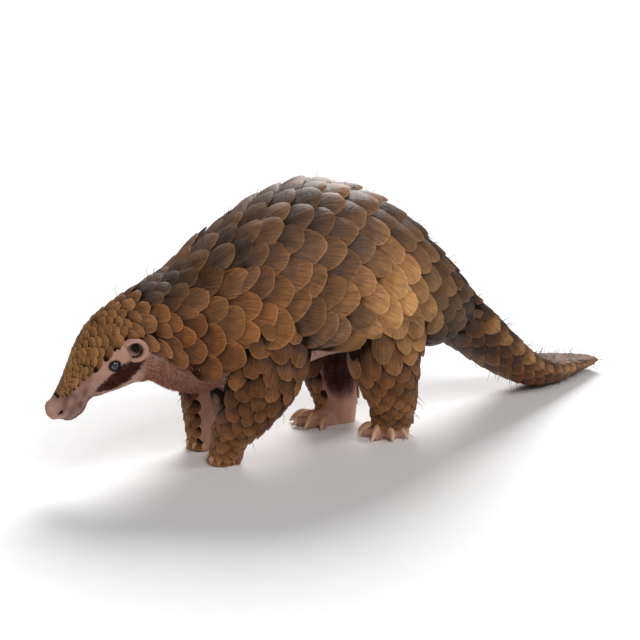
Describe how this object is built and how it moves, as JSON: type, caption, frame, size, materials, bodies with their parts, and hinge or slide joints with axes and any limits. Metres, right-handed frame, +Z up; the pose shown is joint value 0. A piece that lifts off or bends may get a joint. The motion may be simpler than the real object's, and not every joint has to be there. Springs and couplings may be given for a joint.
{
  "type": "chinese pangolin model",
  "caption": "Life-size walking pangolin with overlapping raised scales, bare face, cupped ears, clawed feet and a broad tail laid along the ground.",
  "frame": {"origin": "middle of the box round the whole animal, on the ground it stands on", "axes": "head towards -Y, tail towards +Y, the animal's left side towards +X, +Z up"},
  "size_m": [0.1668, 0.7134, 0.2549],
  "materials": {
    "scaled_skin": "horn-like satin scales, dark grey brown with lighter rims",
    "bare_skin": "soft matt skin",
    "eye": "wet, polished",
    "claw": "satin horn"
  },
  "bodies": {
    "root": {"head": "scaled_skin", "neck": "scaled_skin", "torso": "scaled_skin", "tail": "scaled_skin", "foreleg_left": "scaled_skin", "foreleg_right": "scaled_skin", "hindleg_left": "scaled_skin", "hindleg_right": "scaled_skin", "ear_left": "bare_skin", "ear_right": "bare_skin", "eye_left": "eye", "eye_right": "eye", "claw_fore_left_1": "claw", "claw_fore_left_2": "claw", "claw_fore_left_3": "claw", "claw_fore_left_4": "claw", "claw_fore_left_5": "claw", "claw_fore_right_1": "claw", "claw_fore_right_2": "claw", "claw_fore_right_3": "claw", "claw_fore_right_4": "claw", "claw_fore_right_5": "claw", "claw_hind_left_1": "claw", "claw_hind_left_2": "claw", "claw_hind_left_3": "claw", "claw_hind_left_4": "claw", "claw_hind_left_5": "claw", "claw_hind_right_1": "claw", "claw_hind_right_2": "claw", "claw_hind_right_3": "claw", "claw_hind_right_4": "claw", "claw_hind_right_5": "claw"}
  },
  "joints": []
}
